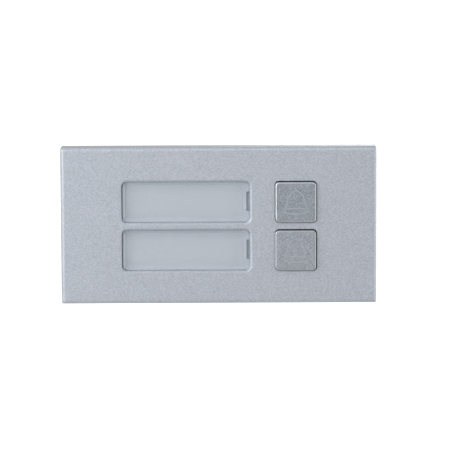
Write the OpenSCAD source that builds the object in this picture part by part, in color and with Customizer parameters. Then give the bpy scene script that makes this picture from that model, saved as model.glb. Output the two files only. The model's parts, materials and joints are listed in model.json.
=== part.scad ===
// Two-call button module of a modular door intercom.
// Frame: +X to the right and +Z up as seen from the front, +Y into the wall.
// The origin is the centre of the plane of the faceplate's rear rim, so the front is at -plate_d.

/* [Faceplate] */
// Width of the faceplate
plate_w = 115; // [113:0.5:125]
// Height of the faceplate
plate_h = 57.3; // [56:0.1:65]
// Depth of the faceplate, from its front to its rear rim
plate_d = 8.5; // [8.5:0.1:9.5]
// Thickness of the front wall
face_t = 1.5; // [1.4:0.05:1.6]
// Thickness of the rim wall at its rear edge
rim_t = 2.5; // [2:0.1:2.8]
// Radius of the outline's four corners
corner_r = 1; // [0.6:0.1:2]
// Radius of the rounded front edges
edge_r = 1.5; // [0.5:0.1:1.6]

/* [Rows] */
// Distance between the two rows of label and button
row_pitch = 17.65; // [17.5:0.05:18]
// Height of the midpoint between the rows, from the plate's centre
row_mid = -0.33; // [-0.5:0.01:0.5]

/* [Label windows] */
// Width of a label window inside its chamfer
window_w = 46.8; // [44:0.1:47]
// Height of a label window inside its chamfer
window_h = 15; // [14:0.1:15.2]
// Horizontal centre of the windows
window_x = -12; // [-12.5:0.05:-11]
// Corner radius of a window
window_r = 1.9; // [0.8:0.1:2.2]
// Width of the chamfer round a window
window_chamfer = 0.75; // [0.3:0.05:0.8]
// Width of the printed name card
card_w = 43.2; // [40:0.1:43.4]
// Height of the printed name card
card_h = 11.6; // [11:0.1:12.2]
// Thickness of a label cover
cover_t = 1.2; // [1.1:0.05:1.2]
// Gap between a cover and its pocket
cover_gap = 0.15; // [0.1:0.05:0.2]
// Length of the pry notch in a cover's right edge
notch_l = 7.3; // [5:0.1:9]
// Depth of the pry notch
notch_d = 1.1; // [0.8:0.1:1.5]

/* [Call buttons] */
// Side of a square button aperture
aperture = 15.3; // [15.2:0.05:15.6]
// Corner radius of an aperture
aperture_r = 1.55; // [1.2:0.05:2.5]
// Width of the broken edge round an aperture
aperture_chamfer = 0.2; // [0.1:0.05:0.3]
// Horizontal centre of the buttons
button_x = 28.1; // [27.5:0.01:29]
// Width of a button cap
cap_w = 14.9; // [14.4:0.1:15]
// Height of a button cap
cap_h = 14.75; // [14.4:0.05:15]
// How far a cap stands proud of the faceplate
cap_proud = 1; // [0.9:0.05:1.2]
// Width of the polished bevel round a cap's face
cap_bevel = 0.45; // [0.2:0.05:0.6]
// Travel of a button
travel = 0.8; // [0.4:0.1:0.8]

/* [Rear housing] */
// Width of the housing's box
box_w = 96; // [95.5:0.1:96.5]
// Height of the housing's box
box_h = 44; // [43.5:0.1:44.5]
// How far the housing reaches behind the rear rim
box_back = 14; // [14:0.5:20]
// Wall of the housing
box_wall = 2; // [1.8:0.1:2]
// Horizontal spacing of the threaded inserts
insert_dx = 82; // [80:0.5:83]
// Vertical spacing of the threaded inserts
insert_dz = 30; // [28:0.5:31]
// Radius of the inserts' thread, M3
insert_r = 1.25; // [1.2:0.05:1.3]

/* [Hidden] */
$fn = 48;
hull_fn = 32;
eps = 0.01;

// which way each row lies from row_mid
UP = 1;
DOWN = -1;

// depths along Y, from the front to the back
front_y = -plate_d;
wall_y = front_y + face_t;
cover_y = wall_y + 0.1;
pocket_y = cover_y + cover_t + 0.2;
card_t = 0.15;
frame_t = 4;
frame_y = wall_y + frame_t;
flange_t = 2;
flange_front_y = -2.5;
flange_y = flange_front_y + flange_t;
seal_t = 1.5;
ledge_y = flange_front_y - seal_t;
board_y = 0.5;
board_t = 1.6;
board_back_y = board_y + board_t;

// faceplate and seal
ledge_t = 4.5;
seal_w = 1.3;
slack = 0.3;
boss_r = 2.2;

// inner frame
frame_w = 92;
frame_h = 42;
guide_gap = 0.05;

// the hinge of a label cover
pivot_x = window_x - window_w / 2 + cover_gap + cover_t / 2;
pivot_y = cover_y + cover_t / 2;
pin_r = 0.4;
pin_l = 0.7;
pin_bore_r = 0.45;
pin_bore_l = 0.9;
notch_r = 0.5;
pad_t = 0.6;
pad_dx = -0.25;
pad_drop = 0.15;
card_x = pivot_x + card_w / 2 + 0.02;
card_dz = 0.2;
pry_depth = 0.8;
gate_x = -0.9;
gate_l = 3.9;
gate_d = 0.5;
gate_r = 0.3;

// buttons: how far each cap sits [right of button_x, above its row], and the apertures above theirs
play_upper = [-0.02, -0.085];
play_lower = [-0.12, -0.09];
aperture_dz = 0.03;
cap_y = front_y - cap_proud;
cap_depth = 2.1;
cap_skin = 0.9;
cap_r = 1.4;
carrier_w = 14.4;
carrier_back_y = -5;
wing_w = 17.8;
wing_h = 6;
wing_front_y = wall_y + 0.2;
wing_t = 1.2;
wing_slot_w = 18.6;
wing_slot_h = 7.2;
post_r = 2;
post_l = 0.4;
plunger_r = 1.75;
plunger_l = 2.4;
plunger_bore_r = 1.82;
switch_w = 6;
switch_h = 3.5;
plunger_end_gap = 0.4;
boot_foot_r = 6.4;
boot_top_r = 5;
boot_wall = 0.8;
boot_foot_t = 0.8;

// screws: [x, z] of one corner of each pattern
frame_screw_at = [41.5, 17.5];
board_screw_at = [41, 9];
housing_screw_at = [51, 17];
screw_gap = 0.05;
frame_screw = [1.9, 1.1, 0.75, 3.6];      // head radius, head height, shank radius, shank length
board_screw = [1.9, 1.1, 0.8, 4.3];
housing_screw = [2, 1.4, 1, 5.5];
frame_boss_y = wall_y + 2.5;
board_post_r = 2.4;

// circuit board
board_w = 90;
board_h = 38;
led_at = [-28, -13, 2];
led_size = [3.5, 2.8];
led_t = 0.9;

// sockets
socket_x = 14;
socket_z = 4;
socket_w = 16.4;
socket_h = 7.6;
socket_wall = 0.9;
socket_y = box_back - 0.4;
socket_floor_y = board_back_y + 2.5;
pin_count = 5;
pin_pitch = 2.54;
pin_side = 0.64;
pin_tip_y = socket_floor_y + 4.4;

// threaded inserts
insert_out_r = 2.1;
insert_l = 5;
insert_boss_r = 3.2;
insert_boss_l = 5;

function row_z(side) = row_mid + side * row_pitch / 2;

// ---------- helpers ----------

// a flat outline in X and Z, made solid from Y = front to Y = back
module slab(front, back) {
    translate([0, back, 0]) rotate([90, 0, 0]) linear_extrude(height = back - front) children();
}

module round_rect(w, h, r) {
    square([w - 2 * r, h], center = true);
    square([w, h - 2 * r], center = true);
    for (sx = [-1, 1], sy = [-1, 1])
        translate([sx * (w / 2 - r), sy * (h / 2 - r)]) circle(r);
}

module at(x, z) {
    translate([x, 0, z]) children();
}

module rod(r, front, back) {
    slab(front, back) circle(r);
}

module four_corners(p) {
    for (sx = [-1, 1], sz = [-1, 1]) at(sx * p[0], sz * p[1]) children();
}

// the tapered cut that leaves a chamfer round an opening in the front wall
module chamfer_cut(w, h, r, c, front) {
    hull($fn = hull_fn) {
        slab(front - eps, front) round_rect(w + 2 * c, h + 2 * c, r + c, $fn = hull_fn);
        slab(front + c, front + c + eps) round_rect(w, h, r, $fn = hull_fn);
    }
}

// a pan-head screw driven forwards, its head's seat at Y = seat
module screw(size, seat) {
    head_r = size[0];
    head_h = size[1];
    difference() {
        rod(head_r, seat, seat + head_h);
        for (turn = [0, 90])
            rotate([0, turn, 0]) slab(seat + head_h * 0.5, seat + head_h + eps)
                square([head_r * 1.1, head_r * 0.26], center = true);
    }
    rod(size[2], seat - size[3], seat);
}

// the plate's section across one direction: square at the back, rounded at the front
module edge_section(span) {
    translate([-span / 2, 0]) square([span, plate_d - edge_r]);
    translate([-span / 2 + edge_r, 0]) square([span - 2 * edge_r, plate_d]);
    for (side = [-1, 1])
        translate([side * (span / 2 - edge_r), plate_d - edge_r]) circle(edge_r);
}

// ---------- faceplate ----------

module plate_block() {
    intersection() {
        slab(front_y, 0) round_rect(plate_w, plate_h, corner_r);
        rotate([180, 0, 0])
            linear_extrude(height = plate_h + 2, center = true) edge_section(plate_w);
        rotate([0, 90, 0]) rotate([0, 0, 180])
            linear_extrude(height = plate_w + 2, center = true) edge_section(plate_h);
    }
}

module faceplate() {
    pilot_front_y = wall_y + 0.2;
    color("silver") {
        difference() {
            plate_block();
            slab(ledge_y, eps) round_rect(plate_w - 2 * rim_t, plate_h - 2 * rim_t, corner_r);
            slab(wall_y, eps) round_rect(plate_w - 2 * ledge_t, plate_h - 2 * ledge_t, corner_r);
            for (side = [UP, DOWN]) {
                at(window_x, row_z(side)) {
                    slab(front_y - eps, wall_y + eps) round_rect(window_w, window_h, window_r);
                    chamfer_cut(window_w, window_h, window_r, window_chamfer, front_y);
                }
                at(button_x, row_z(side) + aperture_dz) {
                    slab(front_y - eps, wall_y + eps) round_rect(aperture, aperture, aperture_r);
                    chamfer_cut(aperture, aperture, aperture_r, aperture_chamfer, front_y);
                }
            }
        }
        four_corners(frame_screw_at) difference() {
            rod(boss_r, wall_y, frame_boss_y);
            rod(frame_screw[2] + screw_gap, pilot_front_y, frame_boss_y + eps);
        }
        four_corners(housing_screw_at) difference() {
            rod(boss_r, wall_y, flange_front_y);
            rod(housing_screw[2] + screw_gap, pilot_front_y, flange_front_y + eps);
        }
    }
}

// ---------- inner frame ----------

module label_pocket(side) {
    at(window_x, row_z(side))
        slab(wall_y - eps, pocket_y) round_rect(window_w, window_h, window_r);
    at(window_x + window_w / 2 - (cover_gap + notch_d) / 2, row_z(side))
        slab(pocket_y - eps, pocket_y + pry_depth)
            square([cover_gap + notch_d, notch_l], center = true);
    at(card_x, row_z(side) + card_dz)
        slab(pocket_y - eps, frame_y + eps) square([card_w, card_h], center = true);
    translate([pivot_x, pivot_y, row_z(side)])
        cylinder(r = pin_bore_r, h = window_h + 2 * pin_bore_l, center = true);
}

module button_well(side) {
    at(button_x, row_z(side) + aperture_dz) {
        slab(wall_y - eps, frame_y + eps) round_rect(aperture, aperture, aperture_r);
        slab(wall_y - eps, frame_y + eps) square([wing_slot_w, wing_slot_h], center = true);
    }
}

module inner_frame() {
    color("whitesmoke") {
        difference() {
            slab(wall_y, frame_y) round_rect(frame_w, frame_h, corner_r);
            for (side = [UP, DOWN]) {
                label_pocket(side);
                button_well(side);
            }
            four_corners(frame_screw_at) {
                rod(boss_r + screw_gap, wall_y - eps, frame_boss_y);
                rod(frame_screw[2] + slack, frame_boss_y - eps, frame_y + eps);
            }
        }
        four_corners(board_screw_at) difference() {
            rod(board_post_r, frame_y, board_y);
            rod(board_screw[2] + screw_gap, frame_y + 0.5, board_y + eps);
        }
    }
}

// ---------- labels ----------

// the raised pad of a cover, which fills the window but leaves room to swing at its left
module cover_pad(right, top) {
    left = pivot_x - window_x + pad_dx;
    slab(cover_y - pad_t, cover_y + cover_t / 8) translate([(left + right) / 2, pad_drop / 2])
        round_rect(right - left, 2 * top - pad_drop, window_r - cover_gap);
}

// a plate whose left edge is a full round about the hinge's axis; the lower one also has
// a shallow scoop in its bottom edge
module label_cover(side) {
    cover_w = window_w - 2 * cover_gap;
    cover_h = window_h - 2 * cover_gap;
    cover_r = window_r - cover_gap;
    color("lightblue", 0.5) at(window_x, row_z(side)) {
        difference() {
            union() {
                translate([cover_t / 4 + eps, 0, 0]) slab(cover_y, cover_y + cover_t)
                    round_rect(cover_w - cover_t / 2 - 2 * eps, cover_h, cover_r);
                translate([pivot_x - window_x, pivot_y, 0])
                    cylinder(d = cover_t, h = cover_h - 2 * cover_r, center = true);
                cover_pad(cover_w / 2, cover_h / 2);
            }
            translate([cover_w / 2, 0, 0]) slab(cover_y - pad_t - eps, cover_y + cover_t + eps)
                round_rect(2 * notch_d, notch_l, notch_r);
            if (side == DOWN) translate([gate_x, 0, -cover_h / 2])
                slab(cover_y - pad_t - eps, cover_y + cover_t + eps)
                round_rect(gate_l, 2 * gate_d, gate_r);
        }
        translate([pivot_x - window_x, pivot_y, 0])
            cylinder(r = pin_r, h = cover_h + 2 * pin_l, center = true);
    }
}

module name_card(side) {
    color("white") at(card_x, row_z(side) + card_dz)
        slab(pocket_y - card_t, pocket_y) square([card_w, card_h], center = true);
}

module light_guide(side) {
    color("azure", 0.6) at(card_x, row_z(side) + card_dz) slab(pocket_y, frame_y)
        square([card_w - 2 * guide_gap, card_h - 2 * guide_gap], center = true);
}

// ---------- buttons ----------

module on_button(side, play) {
    at(button_x + play[0], row_z(side) + play[1]) children();
}

module button_cap(side, play) {
    inner = [cap_w - 2 * cap_skin, cap_h - 2 * cap_skin];
    color("gray") on_button(side, play) difference() {
        union() {
            hull($fn = hull_fn) {
                slab(cap_y, cap_y + eps) round_rect(cap_w - 2 * cap_bevel, cap_h - 2 * cap_bevel,
                    cap_r - cap_bevel, $fn = hull_fn);
                slab(cap_y + cap_bevel, cap_y + cap_bevel + eps)
                    round_rect(cap_w, cap_h, cap_r, $fn = hull_fn);
            }
            slab(cap_y + cap_bevel, cap_y + cap_depth) round_rect(cap_w, cap_h, cap_r);
        }
        slab(cap_y + cap_skin, cap_y + cap_depth + eps)
            round_rect(inner[0], inner[1], cap_r - cap_skin);
    }
}

module button_carrier(side, play) {
    plug = [cap_w - 2 * cap_skin - 2 * guide_gap, cap_h - 2 * cap_skin - 2 * guide_gap];
    color("dimgray") on_button(side, play) {
        slab(cap_y + cap_skin, cap_y + cap_depth)
            round_rect(plug[0], plug[1], cap_r - cap_skin);
        slab(cap_y + cap_depth, carrier_back_y) round_rect(carrier_w, carrier_w, cap_r);
        slab(wing_front_y, wing_front_y + wing_t) square([wing_w, wing_h], center = true);
        rod(post_r, carrier_back_y, carrier_back_y + post_l);
    }
}

// silicone boot that seals the switch and pushes the button back
module return_boot(side, play) {
    shell_back = board_y - boot_foot_t;
    height = shell_back - carrier_back_y;
    color("darkgray") on_button(side, play) translate([0, board_y, 0]) rotate([90, 0, 0])
        rotate_extrude() {
            translate([boot_foot_r - boot_wall - 0.2, 0]) square([boot_wall + 0.2, boot_foot_t]);
            translate([0, boot_foot_t]) polygon([
                [boot_foot_r - boot_wall - 0.2, 0], [boot_foot_r - 0.2, 0],
                [boot_top_r, height], [boot_top_r - boot_wall, height]
            ]);
        }
}

module switch_body(side, play) {
    top_y = board_y - switch_h;
    bore_end_y = carrier_back_y + post_l + plunger_l + travel + plunger_end_gap;
    color("black") on_button(side, play) difference() {
        slab(top_y, board_y) round_rect(switch_w, switch_w, 0.4);
        rod(plunger_bore_r, top_y - eps, bore_end_y);
    }
}

module switch_plunger(side, play) {
    post_end_y = carrier_back_y + post_l;
    color("ivory") on_button(side, play) rod(plunger_r, post_end_y, post_end_y + plunger_l);
}

// ---------- electronics ----------

module circuit_board() {
    color("darkgreen") difference() {
        slab(board_y, board_back_y) round_rect(board_w, board_h, 1);
        four_corners(board_screw_at) rod(board_screw[2] + slack, board_y - eps, board_back_y + eps);
    }
}

module backlight_leds() {
    color("lightyellow") for (side = [UP, DOWN], x = led_at)
        at(x, row_z(side)) slab(board_y - led_t, board_y) square(led_size, center = true);
}

// a chip on the back of the board, with legs along its left and right sides
module chip(w, h, t, legs) {
    leg_w = 0.4;
    leg_l = 1;
    leg_t = 0.3;
    slab(board_back_y + 0.15, board_back_y + t) square([w, h], center = true);
    for (side = [-1, 1], i = [0 : legs - 1])
        at(side * (w / 2 + leg_l / 2 - eps), (i - (legs - 1) / 2) * h / legs)
            slab(board_back_y, board_back_y + leg_t) square([leg_l, leg_w], center = true);
}

module controller_chip() {
    color("black") at(0, -11) chip(9, 9, 1.4, 8);
}

module bus_chip() {
    color("black") at(-24, -12) chip(4, 5, 1.6, 4);
}

module power_parts() {
    can_r = 3;
    can_h = 6.5;
    color("steelblue") {
        for (z = [-7, 4]) at(29, z) rod(can_r, board_back_y, board_back_y + can_h);
        at(-29, 5) slab(board_back_y, board_back_y + 4) round_rect(7, 7, 1);
    }
}

module bus_socket(x) {
    color("ivory") at(x, socket_z) difference() {
        slab(board_back_y, socket_y) square([socket_w, socket_h], center = true);
        slab(socket_floor_y, socket_y + eps)
            square([socket_w - 2 * socket_wall, socket_h - 2 * socket_wall], center = true);
        for (i = [0 : pin_count - 1]) at((i - (pin_count - 1) / 2) * pin_pitch, 0)
            slab(board_back_y - eps, socket_floor_y + eps)
                square(pin_side + 2 * screw_gap, center = true);
    }
}

module socket_pins() {
    color("gold") for (x = [-socket_x, socket_x], i = [0 : pin_count - 1])
        at(x + (i - (pin_count - 1) / 2) * pin_pitch, socket_z)
            slab(board_back_y, pin_tip_y) square(pin_side, center = true);
}

// ---------- rear housing ----------

module housing_seal() {
    outer = [plate_w - 2 * rim_t - slack, plate_h - 2 * rim_t - slack];
    color("black") slab(ledge_y, flange_front_y) difference() {
        round_rect(outer[0], outer[1], corner_r);
        square([outer[0] - 2 * seal_w, outer[1] - 2 * seal_w], center = true);
    }
}

module rear_housing() {
    flange = [plate_w - 2 * rim_t - 2 * slack, plate_h - 2 * rim_t - 2 * slack];
    inner = [box_w - 2 * box_wall, box_h - 2 * box_wall];
    inner_y = box_back - box_wall;
    color("black") difference() {
        union() {
            slab(flange_front_y, flange_y) round_rect(flange[0], flange[1], corner_r);
            difference() {
                slab(flange_front_y, box_back) round_rect(box_w, box_h, 2);
                slab(flange_front_y - eps, inner_y) round_rect(inner[0], inner[1], 1);
            }
            four_corners([insert_dx / 2, insert_dz / 2])
                rod(insert_boss_r, inner_y - insert_boss_l, inner_y + eps);
        }
        slab(flange_front_y - eps, flange_y + eps) round_rect(inner[0], inner[1], 1);
        four_corners(housing_screw_at)
            rod(housing_screw[2] + slack, flange_front_y - eps, flange_y + eps);
        four_corners([insert_dx / 2, insert_dz / 2])
            rod(insert_out_r + screw_gap, box_back - insert_l - 0.2, box_back + eps);
        for (x = [-socket_x, socket_x]) at(x, socket_z)
            slab(inner_y - eps, box_back + eps)
                square([socket_w + 2 * slack, socket_h + 2 * slack], center = true);
    }
}

module threaded_inserts() {
    color("goldenrod") four_corners([insert_dx / 2, insert_dz / 2]) difference() {
        rod(insert_out_r, box_back - insert_l, box_back);
        rod(insert_r, box_back - insert_l - eps, box_back + eps);
    }
}

module rating_plate() {
    color("lightgray") at(0, -13)
        slab(box_back, box_back + 0.1) round_rect(44, 10, 1);
}

// ---------- screws ----------

module frame_screws() {
    color("lightsteelblue") four_corners(frame_screw_at) screw(frame_screw, frame_y);
}

module board_screws() {
    color("lightsteelblue") four_corners(board_screw_at) screw(board_screw, board_back_y);
}

module housing_screws() {
    color("lightsteelblue") four_corners(housing_screw_at) screw(housing_screw, flange_y);
}

// ---------- assembly ----------

faceplate();
inner_frame();
label_cover(UP);  // label_cover_upper
label_cover(DOWN);  // label_cover_lower
name_card(UP);  // name_card_upper
name_card(DOWN);  // name_card_lower
light_guide(UP);  // light_guide_upper
light_guide(DOWN);  // light_guide_lower
button_cap(UP, play_upper);  // button_cap_upper
button_cap(DOWN, play_lower);  // button_cap_lower
button_carrier(UP, play_upper);  // button_carrier_upper
button_carrier(DOWN, play_lower);  // button_carrier_lower
return_boot(UP, play_upper);  // return_boot_upper
return_boot(DOWN, play_lower);  // return_boot_lower
switch_body(UP, play_upper);  // switch_body_upper
switch_body(DOWN, play_lower);  // switch_body_lower
switch_plunger(UP, play_upper);  // switch_plunger_upper
switch_plunger(DOWN, play_lower);  // switch_plunger_lower
circuit_board();
backlight_leds();
controller_chip();
bus_chip();
power_parts();
bus_socket(-socket_x);  // bus_in_socket
bus_socket(socket_x);  // bus_out_socket
socket_pins();
housing_seal();
rear_housing();
threaded_inserts();
rating_plate();
frame_screws();
board_screws();
housing_screws();
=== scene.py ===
"""Two-call door intercom module: the looks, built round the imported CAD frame.

+X is right and +Z up as seen from the front, +Y goes into the wall, and lengths are in metres.
"""
import json
import math

import bmesh
import bpy
from mathutils import Matrix, Vector

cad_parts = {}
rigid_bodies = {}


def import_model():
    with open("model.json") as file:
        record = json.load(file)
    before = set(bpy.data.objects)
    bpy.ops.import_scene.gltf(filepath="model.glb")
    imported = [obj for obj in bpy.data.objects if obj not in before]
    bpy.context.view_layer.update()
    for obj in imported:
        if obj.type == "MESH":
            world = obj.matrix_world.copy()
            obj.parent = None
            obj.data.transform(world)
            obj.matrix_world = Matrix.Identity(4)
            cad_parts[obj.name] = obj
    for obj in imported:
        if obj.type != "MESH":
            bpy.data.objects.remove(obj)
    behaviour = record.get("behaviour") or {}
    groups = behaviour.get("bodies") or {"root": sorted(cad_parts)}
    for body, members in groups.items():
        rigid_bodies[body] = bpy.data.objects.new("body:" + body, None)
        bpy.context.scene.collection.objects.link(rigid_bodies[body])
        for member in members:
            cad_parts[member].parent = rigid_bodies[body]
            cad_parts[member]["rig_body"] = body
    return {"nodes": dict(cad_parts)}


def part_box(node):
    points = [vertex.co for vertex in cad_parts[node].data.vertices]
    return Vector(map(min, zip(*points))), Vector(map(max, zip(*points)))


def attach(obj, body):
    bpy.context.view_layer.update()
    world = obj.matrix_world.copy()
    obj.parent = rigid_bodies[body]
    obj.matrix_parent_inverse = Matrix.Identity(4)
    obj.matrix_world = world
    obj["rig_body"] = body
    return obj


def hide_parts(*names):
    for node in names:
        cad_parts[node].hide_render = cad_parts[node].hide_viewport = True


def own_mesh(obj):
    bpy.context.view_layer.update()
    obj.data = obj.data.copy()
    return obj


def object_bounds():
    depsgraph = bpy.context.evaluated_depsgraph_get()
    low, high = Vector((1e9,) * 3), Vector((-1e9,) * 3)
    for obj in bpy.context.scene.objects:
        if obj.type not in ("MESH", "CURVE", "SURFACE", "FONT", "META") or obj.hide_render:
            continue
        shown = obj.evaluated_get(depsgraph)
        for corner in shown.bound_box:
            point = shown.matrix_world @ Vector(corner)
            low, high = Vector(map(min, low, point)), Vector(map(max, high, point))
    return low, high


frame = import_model()
cad_low, cad_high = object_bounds()

MM = 0.001
ROWS = ("upper", "lower")

# ---------- sizes that the CAD frame gives ----------

plate_low, plate_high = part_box("faceplate")
PLATE_W = plate_high.x - plate_low.x
PLATE_H = plate_high.z - plate_low.z
FRONT_Y = plate_low.y
REAR_Y = plate_high.y
WALL_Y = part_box("inner_frame")[0].y
LEDGE_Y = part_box("housing_seal")[0].y
ROW_Z = {row: sum(c.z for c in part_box("label_cover_" + row)) / 2 for row in ROWS}

# ---------- details of the faceplate ----------

CORNER_R = 0.7 * MM
# how much the outline's corner radius shrinks for each unit that the rounded front edge moves in
CORNER_SHRINK = 0.8
EDGE_INSET = 1.5 * MM
EDGE_DEPTH = 1.5 * MM
RIM_T = 2.5 * MM
LEDGE_T = 4.5 * MM
# the small chamfer that takes the sharpness off an edge
MICRO = 0.08 * MM
COVER_GAP = 0.15 * MM
# how much closer a window's left wall stands to the cover than its right wall
HINGE_SIDE_TRIM = 0.08 * MM
WINDOW_H = 15.0 * MM
WINDOW_R = 1.9 * MM
WINDOW_CHAMFER = 0.75 * MM
WINDOW_CHAMFER_DEPTH = 0.62 * MM
APERTURE = 15.3 * MM
APERTURE_X = 28.1 * MM
# how much higher an aperture sits than its row
APERTURE_RISE = 0.03 * MM
APERTURE_R = 1.55 * MM
APERTURE_EDGE = 0.1 * MM
BOSS_R = 2.2 * MM
# from the front wall's back to the floor of a boss's pilot hole
PILOT_FLOOR = 0.2 * MM
PILOT_R = {"frame_screws": 0.8 * MM, "housing_screws": 1.05 * MM}
BOSS_END_Y = {"frame_screws": WALL_Y + 2.5 * MM, "housing_screws": -2.5 * MM}
HEAD_R = {"frame_screws": 1.9 * MM, "housing_screws": 2.0 * MM}
ARC_STEPS = 10
EDGE_STEPS = 8
APERTURE_STEPS = 4

# ---------- details of the button caps ----------

CAP_R = 1.4 * MM
CAP_BEVEL = 0.5 * MM
BEVEL_STEPS = 6
POLISHED_STEPS = 4
CAP_SKIN = 0.9 * MM
# the least corner radius inside the bevel
FACE_CORNER_R = 0.4 * MM

# the chamfer round the back of a cap or cover
BACK_EDGE = 0.1 * MM

# ---------- edges of the meshes ----------

# an edge is shaded sharp past the first angle, rounded past the second, and dissolved below the third
SHARP_ANGLE = math.radians(30)
CRISP_ANGLE = math.radians(35)
FLAT_ANGLE = math.radians(0.5)
WELD = 0.001 * MM

# ---------- camera and light ----------

CAMERA_AZIMUTH = math.radians(0.148)
CAMERA_ELEVATION = math.radians(6.68)
CAMERA_ROLL = math.radians(0.28)
CAMERA_DISTANCE = 0.997
CAMERA_AIM = Vector((2.3 * MM, 0, -0.83 * MM))
CAMERA_LENS = 217.4
BACKGROUND = 1.1
AMBIENT = 0.46
AMBIENT_COLOR = (0.985, 0.99, 1, 1)
# white panels round the part: axis, side and added strength
PANELS = (("X", -1, 0.18), ("X", 1, 1.3), ("Z", -1, 0.43))
# how far along its axis a panel starts and is at full strength, on the unit sphere of directions
PANEL_START, PANEL_FULL = 0.5, 0.95
# soft round lamps aimed at the origin: name, direction, distance, size and power
LAMPS = (
    ("key", (-0.72, -0.66, 0.2), 0.75, 0.7, 3.8),
    ("overhead", (0, -0.74, 0.67), 0.8, 0.5, 0.9),
    ("rear", (0.3, 0.93, 0.1), 0.8, 0.5, 2.5),
    ("corner_glint", (-0.69, -0.25, 0.68), 0.8, 0.25, 0.9),
)
FLOOR_DROP = 0.13
FLOOR_SIZE = 6


# ---------- node helpers ----------

def new_material(name, color, roughness, metallic=0.0, **sockets):
    """A Principled material; further sockets are given by name with _ for a space."""
    mat = bpy.data.materials.new(name)
    mat.use_nodes = True
    shader = mat.node_tree.nodes["Principled BSDF"]
    shader.inputs["Base Color"].default_value = (*color, 1)
    shader.inputs["Roughness"].default_value = roughness
    shader.inputs["Metallic"].default_value = metallic
    for key, value in sockets.items():
        shader.inputs[key.replace("_", " ")].default_value = value
    return mat


def add(mat, kind, **inputs):
    """A node of that kind, with input sockets set by name, _ standing for a space."""
    made = mat.node_tree.nodes.new("ShaderNode" + kind)
    for key, value in inputs.items():
        made.inputs[key.replace("_", " ")].default_value = value
    return made


def join(mat, source, target):
    mat.node_tree.links.new(source, target)


def shader_of(mat):
    return mat.node_tree.nodes["Principled BSDF"]


def object_place(mat, stretch=(1, 1, 1)):
    """The socket that gives a surface point's place in metres, stretched along the axes."""
    place = add(mat, "TexCoord")
    mapping = add(mat, "Mapping", Scale=stretch)
    join(mat, place.outputs["Object"], mapping.inputs["Vector"])
    return mapping.outputs["Vector"]


def noise(mat, size, detail=3, roughness=0.6, stretch=(1, 1, 1)):
    """A noise value with features about size metres across."""
    made = add(mat, "TexNoise", Scale=1 / size, Detail=detail, Roughness=roughness)
    join(mat, object_place(mat, stretch), made.inputs["Vector"])
    return made.outputs["Fac"]


def flakes(mat, size):
    """A random value for each speck of about that size."""
    cells = add(mat, "TexVoronoi", Scale=1 / size)
    join(mat, object_place(mat), cells.inputs["Vector"])
    shades = add(mat, "SeparateColor")
    join(mat, cells.outputs["Color"], shades.inputs["Color"])
    return shades.outputs["Red"]


def spread(mat, value, low, high, start=0.3, stop=0.7):
    """value between start and stop, remapped to low and high."""
    made = add(mat, "MapRange", From_Min=start, From_Max=stop, To_Min=low, To_Max=high)
    join(mat, value, made.inputs["Value"])
    return made.outputs["Result"]


def shade(mat, *factors):
    """Multiplies the base colour by each of the factors."""
    shader = shader_of(mat)
    color = shader.inputs["Base Color"].default_value[:]
    gain = factors[0]
    for factor in factors[1:]:
        times = add(mat, "Math")
        times.operation = "MULTIPLY"
        join(mat, gain, times.inputs[0])
        join(mat, factor, times.inputs[1])
        gain = times.outputs["Value"]
    scale = add(mat, "VectorMath")
    scale.operation = "SCALE"
    scale.inputs[0].default_value = color[:3]
    join(mat, gain, scale.inputs["Scale"])
    join(mat, scale.outputs["Vector"], shader.inputs["Base Color"])


def roughen(mat, value):
    join(mat, value, shader_of(mat).inputs["Roughness"])


def emboss(mat, height, strength, depth):
    made = add(mat, "Bump", Strength=strength, Distance=depth)
    join(mat, height, made.inputs["Height"])
    join(mat, made.outputs["Normal"], shader_of(mat).inputs["Normal"])


# ---------- materials ----------

def faceplate_paint():
    """Silver-grey metallic powder coat: a fine sand grain with brighter and darker flakes."""
    mat = new_material("faceplate_paint", (0.455, 0.485, 0.535), 0.5, 0.35)
    grain = noise(mat, 0.32 * MM, 3, 0.7)
    specks = flakes(mat, 0.24 * MM)
    cloud = noise(mat, 9 * MM, 2)
    shade(mat, spread(mat, grain, 0.94, 1.06), spread(mat, specks, 0.83, 1.17, 0, 1),
          spread(mat, cloud, 0.99, 1.01))
    roughen(mat, spread(mat, grain, 0.42, 0.58))
    emboss(mat, grain, 0.25, 0.02 * MM)
    return mat


def moulded(name, color, roughness, grain_size=0.25 * MM, contrast=0.05, depth=0.01 * MM):
    """Injection-moulded plastic with a fine spark-eroded grain."""
    mat = new_material(name, color, roughness)
    grain = noise(mat, grain_size, 3)
    cloud = noise(mat, 6 * MM, 2)
    shade(mat, spread(mat, grain, 1 - contrast, 1 + contrast), spread(mat, cloud, 0.98, 1.02))
    roughen(mat, spread(mat, grain, roughness - 0.06, roughness + 0.06))
    emboss(mat, grain, 0.3, depth)
    return mat


def acrylic(name, color, alpha):
    """Acrylic with a light frost: its alpha lets what lies behind show."""
    mat = new_material(name, color, 0.16, Alpha=alpha, IOR=1.49)
    smear = noise(mat, 5 * MM, 3)
    roughen(mat, spread(mat, smear, 0.12, 0.22))
    shade(mat, spread(mat, smear, 0.985, 1.015))
    return mat


def painted_edge_shade(mat, axis, margin, low_end, high_end):
    """Two factors of painted shade that are 1 over a piece's middle and darken it towards its two ends
    along the axis.

    margin is the share of the piece's length that each fall takes.
    """
    place = add(mat, "TexCoord")
    axes = add(mat, "SeparateXYZ")
    join(mat, place.outputs["Generated"], axes.inputs["Vector"])
    painted_shade = []
    for start, stop, factor in ((0, margin, low_end), (1, 1 - margin, high_end)):
        ramp = add(mat, "MapRange", From_Min=start, From_Max=stop, To_Min=factor, To_Max=1)
        ramp.interpolation_type = "SMOOTHERSTEP"
        join(mat, axes.outputs[axis], ramp.inputs["Value"])
        painted_shade.append(ramp.outputs["Result"])
    return painted_shade


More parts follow.
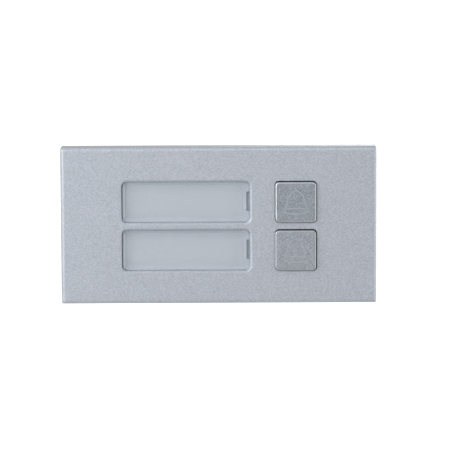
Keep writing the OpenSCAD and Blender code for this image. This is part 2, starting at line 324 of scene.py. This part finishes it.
def card_paper():
    """Uncoated white card with faint fibres, and painted shade that darkens it a little near its edges.
    """
    mat = new_material("card_paper", (0.757, 0.802, 0.857), 0.85,
                       Subsurface_Weight=1.0, Subsurface_Scale=1.0 * MM)
    shader_of(mat).inputs["Subsurface Radius"].default_value = (1, 1, 1)
    fibre = noise(mat, 0.35 * MM, 4, 0.6, (1, 1, 0.35))
    # the edge factors are painted shade: the card darker towards its ends, most at its left end
    shade(mat, spread(mat, fibre, 0.985, 1.015),
          *painted_edge_shade(mat, "X", 0.14, 0.84, 0.93), *painted_edge_shade(mat, "Z", 0.3, 0.88, 0.88))
    emboss(mat, fibre, 0.15, 0.005 * MM)
    return mat


def blasted_metal(name, color, glint):
    """Bead-blasted steel: a coarse grain, with specks up to glint brighter or darker."""
    mat = new_material(name, color, 0.45, 0.75)
    grain = noise(mat, 0.4 * MM, 3, 0.7)
    fine = noise(mat, 0.22 * MM, 2, 0.6)
    specks = flakes(mat, 0.26 * MM)
    shade(mat, spread(mat, grain, 0.93, 1.07), spread(mat, specks, 1 - glint, 1 + glint, 0, 1))
    roughen(mat, spread(mat, fine, 0.36, 0.56))
    emboss(mat, grain, 0.4, 0.02 * MM)
    return mat


def polished_metal(name, color, roughness=0.22):
    """Machined or polished metal with fine drawn lines."""
    mat = new_material(name, color, roughness, 1.0)
    lines = noise(mat, 0.3 * MM, 3, 0.6, (1, 1, 6))
    shade(mat, spread(mat, lines, 0.96, 1.04))
    roughen(mat, spread(mat, lines, roughness - 0.05, roughness + 0.07))
    return mat


def soft_rubber(name, color, roughness=0.7):
    """Rubber or silicone with a dull, slightly dusty bloom."""
    mat = new_material(name, color, roughness)
    bloom = noise(mat, 1.2 * MM, 4)
    pores = noise(mat, 0.2 * MM, 2)
    shade(mat, spread(mat, bloom, 0.9, 1.12))
    roughen(mat, spread(mat, bloom, roughness - 0.08, roughness + 0.08))
    emboss(mat, pores, 0.3, 0.02 * MM)
    return mat


def solder_mask():
    """Green solder mask with the faint relief of the tracks under it."""
    mat = new_material("board_laminate", (0.006, 0.03, 0.016), 0.4)
    tracks = add(mat, "TexVoronoi", Scale=1 / (2.4 * MM))
    tracks.distance = "MANHATTAN"
    join(mat, object_place(mat), tracks.inputs["Vector"])
    relief = spread(mat, tracks.outputs["Distance"], 0.85, 1.2, 0.1, 0.5)
    shade(mat, relief)
    emboss(mat, relief, 0.3, 0.02 * MM)
    return mat


MATERIALS = {
    "faceplate_paint": faceplate_paint(),
    "frame_plastic": moulded("frame_plastic", (0.53, 0.57, 0.61), 0.55),
    "cover_acrylic": acrylic("cover_acrylic", (0.685, 0.74, 0.80), 0.3),
    # the hinge rod's acrylic is frosted denser, and its darker tone is painted shade along each window's
    # left wall
    "cover_edge": acrylic("cover_edge", (0.56, 0.60, 0.65), 0.9),
    "card_paper": card_paper(),
    "guide_acrylic": moulded("guide_acrylic", (0.78, 0.80, 0.82), 0.3, 1.5 * MM, 0.02),
    # each row's cap, bevel and bell mark are the same metal as the other row's; their different tones
    # are painted light and shade, copying how light falls on each cap
    "cap_upper": blasted_metal("cap_upper", (0.38, 0.413, 0.456), 0.34),
    "cap_lower": blasted_metal("cap_lower", (0.43, 0.462, 0.511), 0.27),
    "bevel_upper": polished_metal("bevel_upper", (0.57, 0.59, 0.62), 0.36),
    "bevel_lower": polished_metal("bevel_lower", (0.47, 0.49, 0.52), 0.42),
    "bell_upper": polished_metal("bell_upper", (0.515, 0.55, 0.592), 0.46),
    "bell_lower": polished_metal("bell_lower", (0.53, 0.564, 0.608), 0.46),
    "carrier_plastic": moulded("carrier_plastic", (0.06, 0.06, 0.065), 0.45),
    "boot_silicone": soft_rubber("boot_silicone", (0.30, 0.31, 0.32), 0.55),
    "switch_plastic": moulded("switch_plastic", (0.03, 0.03, 0.03), 0.4),
    "plunger_plastic": moulded("plunger_plastic", (0.62, 0.57, 0.45), 0.4),
    "board_laminate": solder_mask(),
    "led_resin": moulded("led_resin", (0.80, 0.72, 0.30), 0.25),
    "chip_resin": moulded("chip_resin", (0.03, 0.03, 0.033), 0.6),
    "can_sleeve": moulded("can_sleeve", (0.05, 0.09, 0.24), 0.35),
    "socket_nylon": moulded("socket_nylon", (0.68, 0.66, 0.58), 0.45),
    "pin_gold": polished_metal("pin_gold", (0.80, 0.60, 0.27)),
    "seal_rubber": soft_rubber("seal_rubber", (0.02, 0.02, 0.02), 0.8),
    "housing_plastic": moulded("housing_plastic", (0.028, 0.029, 0.031), 0.5, 0.3 * MM, 0.12, 0.03 * MM),
    "insert_brass": polished_metal("insert_brass", (0.70, 0.52, 0.24)),
    "rating_foil": moulded("rating_foil", (0.55, 0.56, 0.57), 0.35, 0.8 * MM, 0.02),
    "screw_steel": polished_metal("screw_steel", (0.60, 0.61, 0.62), 0.3),
}


# ---------- mesh helpers ----------

def outline(width, height, radius):
    """The points of a rounded rectangle in X and Z, centred on the origin."""
    points = []
    for sx, sz, start in ((1, 1, 0), (-1, 1, 90), (-1, -1, 180), (1, -1, 270)):
        for step in range(ARC_STEPS + 1):
            angle = math.radians(start + 90 * step / ARC_STEPS)
            points.append((sx * (width / 2 - radius) + radius * math.cos(angle),
                           sz * (height / 2 - radius) + radius * math.sin(angle)))
    return points


def circle(radius, steps=40):
    turns = [2 * math.pi * step / steps for step in range(steps)]
    return [(radius * math.cos(a), radius * math.sin(a)) for a in turns]


def place_ring(bm, points, y, x=0.0, z=0.0):
    return [bm.verts.new((x + px, y, z + pz)) for px, pz in points]


def skin(bm, rings, closed=True):
    """Quads between each ring of vertices and the next; returns the new faces, ring by ring."""
    bands = []
    for near, far in zip(rings, rings[1:]):
        count = len(near) if closed else len(near) - 1
        bands.append([
            bm.faces.new((near[i], near[(i + 1) % len(near)], far[(i + 1) % len(far)], far[i]))
            for i in range(count)
        ])
    return bands


def fill_flat(bm, *loops):
    """Fills the flat area between an outer loop and the holes in it."""
    edges = []
    for loop in loops:
        for a, b in zip(loop, loop[1:] + loop[:1]):
            edges.append(bm.edges.get((a, b)) or bm.edges.new((a, b)))
    done = bmesh.ops.triangle_fill(bm, use_beauty=True, use_dissolve=False, edges=edges)
    return [f for f in done["geom"] if isinstance(f, bmesh.types.BMFace)]


def finish_mesh(name, bm, materials):
    """Turns a bmesh into a smooth-shaded object with sharp edges kept."""
    bmesh.ops.recalc_face_normals(bm, faces=bm.faces)
    mesh = bpy.data.meshes.new(name)
    bm.to_mesh(mesh)
    bm.free()
    for key in materials:
        mesh.materials.append(MATERIALS[key])
    mesh.shade_smooth()
    mesh.set_sharp_from_angle(angle=SHARP_ANGLE)
    made = bpy.data.objects.new(name, mesh)
    bpy.context.scene.collection.objects.link(made)
    weighted = made.modifiers.new("even_normals", "WEIGHTED_NORMAL")
    weighted.keep_sharp = True
    return made


def body_of(node):
    return frame["nodes"][node]["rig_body"]


def stand_for(piece, node):
    """The piece takes the CAD node's place and rides on its body."""
    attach(piece, body_of(node))
    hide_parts(node)
    return piece


def refined(node, key, edge=0.1 * MM, steps=2):
    """The CAD node's own shape with small rounded edges, in the material named key."""
    bm = bmesh.new()
    bm.from_mesh(frame["nodes"][node].data)
    bmesh.ops.remove_doubles(bm, verts=bm.verts, dist=WELD)
    bmesh.ops.dissolve_limit(bm, angle_limit=FLAT_ANGLE, verts=bm.verts, edges=bm.edges)
    crisp = [e for e in bm.edges if e.is_manifold and e.calc_face_angle(0) > CRISP_ANGLE]
    bmesh.ops.bevel(bm, geom=crisp, offset=edge, offset_type="OFFSET", segments=steps,
                    profile=0.5, affect="EDGES", clamp_overlap=True)
    return stand_for(finish_mesh(node + "_shape", bm, [key]), node)


def dress(node, key):
    """A CAD node inside the module keeps its own mesh and takes a real material."""
    mesh = frame["nodes"][node].data
    mesh.materials.clear()
    mesh.materials.append(MATERIALS[key])


# ---------- faceplate ----------

def rounded_edge(inset, depth, steps):
    """(inset, depth) pairs that turn from a flat face into a side wall."""
    turns = [math.pi / 2 * step / steps for step in range(steps + 1)]
    return [(inset * (1 - math.sin(a)), depth * (1 - math.cos(a))) for a in turns]


def window_opening(bm, row):
    """A window's wall with its chamfer; returns its front and back loops."""
    low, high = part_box("label_cover_" + row)
    width = high.x - low.x + 2 * COVER_GAP - HINGE_SIDE_TRIM
    x = (low.x + high.x + HINGE_SIDE_TRIM) / 2
    levels = [(WINDOW_CHAMFER, 0), (WINDOW_CHAMFER - MICRO, 0.3 * MICRO),
              (MICRO / 2, WINDOW_CHAMFER_DEPTH - MICRO), (0, WINDOW_CHAMFER_DEPTH),
              (0, WALL_Y - FRONT_Y)]
    rings = [
        place_ring(bm, outline(width + 2 * out, WINDOW_H + 2 * out, WINDOW_R + out),
                   FRONT_Y + depth, x, ROW_Z[row])
        for out, depth in levels
    ]
    skin(bm, rings)
    return rings[0], rings[-1]


def button_opening(bm, row):
    """A button aperture's wall with its rounded edge; returns its front and back loops."""
    levels = rounded_edge(APERTURE_EDGE, APERTURE_EDGE, APERTURE_STEPS) + [(0, WALL_Y - FRONT_Y)]
    rings = [
        place_ring(bm, outline(APERTURE + 2 * out, APERTURE + 2 * out, APERTURE_R + out),
                   FRONT_Y + depth, APERTURE_X, ROW_Z[row] + APERTURE_RISE)
        for out, depth in levels
    ]
    skin(bm, rings)
    return rings[0], rings[-1]


def add_boss(bm, screws, sx, sz):
    """A screw boss on the back of the front wall, with its pilot hole."""
    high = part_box(screws)[1]
    x, z = sx * (high.x - HEAD_R[screws]), sz * (high.z - HEAD_R[screws])
    end = BOSS_END_Y[screws]
    hole = PILOT_R[screws]
    rings = [
        place_ring(bm, circle(BOSS_R), WALL_Y - MICRO, x, z),
        place_ring(bm, circle(BOSS_R), end - MICRO, x, z),
        place_ring(bm, circle(BOSS_R - MICRO), end, x, z),
        place_ring(bm, circle(hole), end, x, z),
        place_ring(bm, circle(hole), WALL_Y + PILOT_FLOOR, x, z),
    ]
    skin(bm, rings)
    fill_flat(bm, rings[0])
    fill_flat(bm, rings[-1])


def build_faceplate():
    """The front wall with its four openings, the rim, the ledge inside it and the screw bosses."""
    bm = bmesh.new()
    openings = [window_opening(bm, row) for row in ROWS] + [button_opening(bm, row) for row in ROWS]
    outer = [
        (inset, FRONT_Y + depth)
        for inset, depth in rounded_edge(EDGE_INSET, EDGE_DEPTH, EDGE_STEPS)
    ]
    outer += [(0, REAR_Y - 2 * MICRO), (MICRO, REAR_Y)]
    inner = [(RIM_T - MICRO, REAR_Y), (RIM_T, REAR_Y - 2 * MICRO), (RIM_T, LEDGE_Y),
             (LEDGE_T, LEDGE_Y), (LEDGE_T, WALL_Y)]
    levels = [(inset, max(CORNER_R - inset * CORNER_SHRINK, 2 * MICRO), y) for inset, y in outer]
    levels += [(inset, CORNER_R, y) for inset, y in inner]
    rings = [
        place_ring(bm, outline(PLATE_W - 2 * inset, PLATE_H - 2 * inset, radius), y)
        for inset, radius, y in levels
    ]
    skin(bm, rings)
    fill_flat(bm, rings[0], *[front for front, _ in openings])
    fill_flat(bm, rings[-1], *[back for _, back in openings])
    for screws in BOSS_END_Y:
        for sx in (-1, 1):
            for sz in (-1, 1):
                add_boss(bm, screws, sx, sz)
    shape = finish_mesh("faceplate_shape", bm, ["faceplate_paint"])
    stand_for(shape, "faceplate")


# ---------- label covers ----------

# all in millimetres: X and Z from the cover's centre, and Y from the back of the front wall
COVER_HALF = (23.25, 7.35)
COVER_CORNER = 1.75
COVER_T = 1.2
BASE_Y = 0.1
PAD_Y = -0.5
PAD_LEFT = -22.9
PAD_BOTTOM = -7.2
# inset and depth of the steps that round the pad's front edge
PAD_EDGE = ((0.16, 0), (0.05, 0.04), (0, 0.15))
# the notch's left side and half its length, and how much shorter it is at its lower end
NOTCH = (22.15, 3.65)
NOTCH_SLANT = 0.45
NOTCH_FILLET = 0.3
# the scoop's two sides and its roof, and the fillets at its mouth and its roof
SCOOP = ((-2.85, 1.05), -6.85)
SCOOP_FILLETS = (0.1, 0.15)
HINGE_R = 0.6
PIN_R = 0.4
PIN_END = 8.05
ROD_SIDES = 24


def filleted(corners, steps=6):
    """A closed outline in metres with an arc at each corner, given as (x, z, radius) in millimetres."""
    points = []
    spots = [Vector(c[:2]) for c in corners]
    for i, (x, z, radius) in enumerate(corners):
        spot = spots[i]
        back = (spots[i - 1] - spot).normalized()
        ahead = (spots[(i + 1) % len(spots)] - spot).normalized()
        half = back.angle(ahead) / 2
        reach = radius / math.tan(half)
        center = spot + (back + ahead).normalized() * radius / math.sin(half)
        start, end = spot + back * reach - center, spot + ahead * reach - center
        sweep = start.angle_signed(end)
        for step in range(steps + 1):
            turn = Matrix.Rotation(-sweep * step / steps, 2)
            points.append(tuple((center + turn @ start) * MM))
    return points


def shrunk(points, distance):
    """An anticlockwise outline moved inwards by distance."""
    count = len(points)
    moved = []
    for i in range(count):
        a, b, c = (Vector(points[j % count]) for j in (i - 1, i, i + 1))
        before, after = (b - a).normalized(), (c - b).normalized()
        inward = Vector((-before.y - after.y, before.x + after.x)).normalized()
        across = max(0.5, inward.dot(Vector((-before.y, before.x))))
        moved.append(tuple(b + inward * distance / across))
    return moved


def cover_outline(left, bottom, scooped):
    """The cover's outline with its notch, between the given left and bottom edges."""
    right, top = COVER_HALF
    inner, half = NOTCH
    r, lip = COVER_CORNER, NOTCH_FILLET
    corners = [
        (right, bottom, r), (right, -half, lip), (inner, NOTCH_SLANT - half, lip),
        (inner, half, lip), (right, half, lip), (right, top, r), (left, top, r), (left, bottom, r),
    ]
    if scooped:
        (near, far), roof = SCOOP
        mouth, nook = SCOOP_FILLETS
        corners += [(near, bottom, mouth), (near, roof, nook), (far, roof, nook), (far, bottom, mouth)]
    return filleted(corners)


def add_rod(bm, x, y, z, radius, reach):
    """An upright rod that reaches equally far above and below z; returns its side faces."""
    levels = [(radius - MICRO, -reach), (radius, MICRO - reach),
              (radius, reach - MICRO), (radius - MICRO, reach)]
    rings = [
        [bm.verts.new((x + px, y + py, z + up)) for px, py in circle(r, ROD_SIDES)]
        for r, up in levels
    ]
    bands = skin(bm, rings)
    bm.faces.new(rings[0])
    bm.faces.new(rings[-1])
    return [face for band in bands for face in band]


def build_cover(row):
    """A clear plate with a raised pad, a notch at its right, and a round hinge edge with its pins."""
    node = "label_cover_" + row
    low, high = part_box(node)
    x, z = (low.x + high.x) / 2, ROW_Z[row]
    scooped = row == "lower"
    hinge = HINGE_R - COVER_HALF[0]
    pad = cover_outline(PAD_LEFT, PAD_BOTTOM, scooped)
    base = cover_outline(hinge, -COVER_HALF[1], scooped)
    base_y = WALL_Y + BASE_Y * MM
    back_y = base_y + COVER_T * MM
    levels = [(pad, inset * MM, WALL_Y + (PAD_Y + depth) * MM) for inset, depth in PAD_EDGE]
    levels += [(pad, 0, base_y), (base, 0, base_y)]
    levels += [(base, 0, back_y - BACK_EDGE), (base, BACK_EDGE, back_y)]
    bm = bmesh.new()
    rings = [place_ring(bm, shrunk(points, inset), y, x, z) for points, inset, y in levels]
    skin(bm, rings)
    fill_flat(bm, rings[0])
    fill_flat(bm, rings[-1])
    axis_x, axis_y = x + hinge * MM, (base_y + back_y) / 2
    # the rod and its pins take the second material, whose darker tone is painted shade
    for radius, reach in ((HINGE_R, COVER_HALF[1] - COVER_CORNER), (PIN_R, PIN_END)):
        for face in add_rod(bm, axis_x, axis_y, z, radius * MM, reach * MM):
            face.material_index = 1
    stand_for(finish_mesh(node + "_shape", bm, ["cover_acrylic", "cover_edge"]), node)


# ---------- buttons ----------

def build_cap(row):
    """A cap with a polished bevel between its blasted face and its skirt."""
    node = "button_cap_" + row
    low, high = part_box(node)
    x, z = (low.x + high.x) / 2, (low.z + high.z) / 2
    width, height = high.x - low.x, high.z - low.z
    bm = bmesh.new()
    levels = [(inset, low.y + depth) for inset, depth in rounded_edge(CAP_BEVEL, CAP_BEVEL, BEVEL_STEPS)]
    levels += [(0, high.y - BACK_EDGE), (BACK_EDGE, high.y), (CAP_SKIN, high.y),
               (CAP_SKIN, low.y + CAP_SKIN)]
    rings = [
        place_ring(bm, outline(width - 2 * inset, height - 2 * inset, max(CAP_R - inset, FACE_CORNER_R)),
                   y, x, z)
        for inset, y in levels
    ]
    bands = skin(bm, rings)
    for band in bands[:POLISHED_STEPS]:
        for face in band:
            face.material_index = 1
    fill_flat(bm, rings[0])
    fill_flat(bm, rings[-1])
    stand_for(finish_mesh(node + "_shape", bm, ["cap_" + row, "bevel_" + row]), node)


# ---------- bell mark ----------

BELL_STROKE = 0.5 * MM
# the stroke's section: share of its width from its middle, and height in front of the cap's face
BELL_SECTION = ((0.5, -0.02 * MM), (0.47, 0.01 * MM), (-0.47, 0.01 * MM), (-0.5, -0.02 * MM))
# the bell's right half, from its crown down to its lip: X and Z from the cap's centre, in millimetres
BELL_SIDE = (
    (0.05, 4.7), (0.35, 4.25), (1.15, 3.75), (1.95, 3.1), (2.5, 2.3), (2.85, 1.5),
    (3.02, 0.8), (3.2, -0.1), (3.4, -1.0), (3.6, -1.7), (4.0, -2.3), (4.25, -2.7),
)
# half the width and half the height of the bell's mouth, and its height, in millimetres
BELL_MOUTH = (4.45, 1.05)
BELL_MOUTH_Z = -3.17
MOUTH_STEPS = 48


def smooth_path(points, steps=6):
    """A Catmull-Rom curve through the points."""
    ends = [points[0]] + points + [points[-1]]
    out = []
    for i in range(1, len(ends) - 2):
        p0, p1, p2, p3 = ends[i - 1:i + 3]
        for step in range(steps):
            t = step / steps
            out.append(0.5 * (2 * p1 + (p2 - p0) * t + (2 * p0 - 5 * p1 + 4 * p2 - p3) * t * t
                              + (3 * p1 - p0 - 3 * p2 + p3) * t ** 3))
    return out + [points[-1]]


def add_stroke(bm, path, center, face_y, closed):
    """A low ribbon with sloping sides that follows the path, given in millimetres."""
    count = len(path)
    lines = [[] for _ in BELL_SECTION]
    for i, point in enumerate(path):
        before = path[i - 1] if i or closed else path[i]
        after = path[(i + 1) % count] if i < count - 1 or closed else path[i]
        along = (after - before).normalized()
        side = Vector((-along.y, along.x))
        for line, (across, rise) in zip(lines, BELL_SECTION):
            spot = point * MM + side * across * BELL_STROKE
            line.append(bm.verts.new((center.x + spot.x, face_y - rise, center.z + spot.y)))
    skin(bm, lines + [lines[0]], closed)
    if not closed:
        bm.faces.new([line[0] for line in lines])
        bm.faces.new([line[-1] for line in lines][::-1])


def build_bell(row):
    """A bell outline in low relief on the cap's face: two sides and an oval mouth."""
    low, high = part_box("button_cap_" + row)
    center = (low + high) / 2
    bm = bmesh.new()
    side = smooth_path([Vector(p) for p in BELL_SIDE])
    for mirror in (1, -1):
        add_stroke(bm, [Vector((mirror * p.x, p.y)) for p in side], center, low.y, False)
    wide, tall = BELL_MOUTH
    mouth = [Vector((wide * x, BELL_MOUTH_Z + tall * z)) for x, z in circle(1, MOUTH_STEPS)]
    add_stroke(bm, mouth, center, low.y, True)
    mark = finish_mesh("bell_mark_" + row, bm, ["bell_" + row])
    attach(mark, body_of("button_cap_" + row))


# ---------- return boots ----------

BOOT_EDGE = 0.15 * MM


def build_boot(row):
    """The boot's CAD shape with rounded edges, on a mesh of its own."""
    node = "return_boot_" + row
    boot = refined(node, "boot_silicone", BOOT_EDGE)
    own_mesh(boot)


# ---------- camera, light and stage ----------

def aim(thing, target, roll=0.0):
    """Turns a camera or lamp so that it looks at the target."""
    toward = (Vector(target) - thing.location).to_track_quat("-Z", "Y").to_matrix().to_4x4()
    thing.matrix_world = Matrix.Translation(thing.location) @ toward @ Matrix.Rotation(roll, 4, "Z")


def add_camera():
    data = bpy.data.cameras.new("camera")
    data.lens = CAMERA_LENS
    data.clip_start = 0.01
    camera = bpy.data.objects.new("camera", data)
    bpy.context.scene.collection.objects.link(camera)
    flat = math.cos(CAMERA_ELEVATION)
    camera.location = CAMERA_DISTANCE * Vector((
        math.sin(CAMERA_AZIMUTH) * flat, -math.cos(CAMERA_AZIMUTH) * flat, math.sin(CAMERA_ELEVATION)))
    aim(camera, CAMERA_AIM, -CAMERA_ROLL)
    bpy.context.scene.camera = camera


def add_softbox(name, direction, distance, size, power):
    data = bpy.data.lights.new(name, "AREA")
    data.shape = "DISK"
    data.size = size
    data.energy = power
    lamp = bpy.data.objects.new(name, data)
    bpy.context.scene.collection.objects.link(lamp)
    lamp.location = Vector(direction).normalized() * distance
    aim(lamp, (0, 0, 0))


def add_world():
    """A white studio: the camera sees pure white, and the part is lit by a dimmer one with panels."""
    world = bpy.data.worlds.new("studio")
    bpy.context.scene.world = world
    world.use_nodes = True
    nodes, links = world.node_tree.nodes, world.node_tree.links
    seen = nodes["Background"]
    seen.inputs["Color"].default_value = (1, 1, 1, 1)
    seen.inputs["Strength"].default_value = BACKGROUND
    place = nodes.new("ShaderNodeTexCoord")
    axes = nodes.new("ShaderNodeSeparateXYZ")
    links.new(place.outputs["Generated"], axes.inputs["Vector"])
    level = None
    for axis, sign, gain in PANELS:
        panel = nodes.new("ShaderNodeMapRange")
        panel.inputs["From Min"].default_value = PANEL_START * sign
        panel.inputs["From Max"].default_value = PANEL_FULL * sign
        panel.inputs["To Max"].default_value = gain
        links.new(axes.outputs[axis], panel.inputs["Value"])
        total = nodes.new("ShaderNodeMath")
        total.inputs[1].default_value = AMBIENT
        links.new(panel.outputs["Result"], total.inputs[0])
        if level:
            links.new(level, total.inputs[1])
        level = total.outputs["Value"]
    ambient = nodes.new("ShaderNodeBackground")
    ambient.inputs["Color"].default_value = AMBIENT_COLOR
    links.new(level, ambient.inputs["Strength"])
    path = nodes.new("ShaderNodeLightPath")
    mix = nodes.new("ShaderNodeMixShader")
    links.new(path.outputs["Is Camera Ray"], mix.inputs["Fac"])
    links.new(ambient.outputs["Background"], mix.inputs[1])
    links.new(seen.outputs["Background"], mix.inputs[2])
    links.new(mix.outputs["Shader"], nodes["World Output"].inputs["Surface"])


def add_floor():
    """A white floor that the camera sees but that throws no light up onto the part."""
    mat = new_material("floor_white", (0.85, 0.85, 0.85), 0.9, Emission_Strength=0.75)
    shader_of(mat).inputs["Emission Color"].default_value = (1, 1, 1, 1)
    MATERIALS["floor"] = mat
    bm = bmesh.new()
    bmesh.ops.create_grid(bm, x_segments=1, y_segments=1, size=FLOOR_SIZE)
    bmesh.ops.translate(bm, vec=(0, 0, cad_low.z - FLOOR_DROP), verts=bm.verts)
    floor = finish_mesh("floor", bm, ["floor"])
    floor.visible_diffuse = False
    floor.visible_glossy = False
    floor.visible_transmission = False


add_camera()
add_world()
add_floor()
for lamp in LAMPS:
    add_softbox(*lamp)

# ---------- pieces ----------

# CAD shapes that get rounded edges: node, material, radius and steps of the rounding
REFINED = (
    ("inner_frame", "frame_plastic", 0.08 * MM, 2),
    ("rear_housing", "housing_plastic", 0.35 * MM, 3),
    ("housing_seal", "seal_rubber", 0.2 * MM, 2),
    ("threaded_inserts", "insert_brass", 0.12 * MM, 2),
    ("rating_plate", "rating_foil", 0.03 * MM, 1),
    ("housing_screws", "screw_steel", 0.12 * MM, 2),
    ("bus_in_socket", "socket_nylon", 0.15 * MM, 2),
    ("bus_out_socket", "socket_nylon", 0.15 * MM, 2),
    ("socket_pins", "pin_gold", 0.12 * MM, 2),
)
# CAD shapes inside the module that keep their own mesh: node and material
DRESSED = (
    ("circuit_board", "board_laminate"),
    ("backlight_leds", "led_resin"),
    ("controller_chip", "chip_resin"),
    ("bus_chip", "chip_resin"),
    ("power_parts", "can_sleeve"),
    ("frame_screws", "screw_steel"),
    ("board_screws", "screw_steel"),
)

build_faceplate()
for row in ROWS:
    build_cover(row)
    refined("name_card_" + row, "card_paper", 0.03 * MM, 1)
    refined("light_guide_" + row, "guide_acrylic")
    build_cap(row)
    build_bell(row)
    build_boot(row)
    refined("button_carrier_" + row, "carrier_plastic")
    dress("switch_body_" + row, "switch_plastic")
    dress("switch_plunger_" + row, "plunger_plastic")
for piece in REFINED:
    refined(*piece)
for piece in DRESSED:
    dress(*piece)

bpy.context.scene.view_settings.view_transform = "Standard"
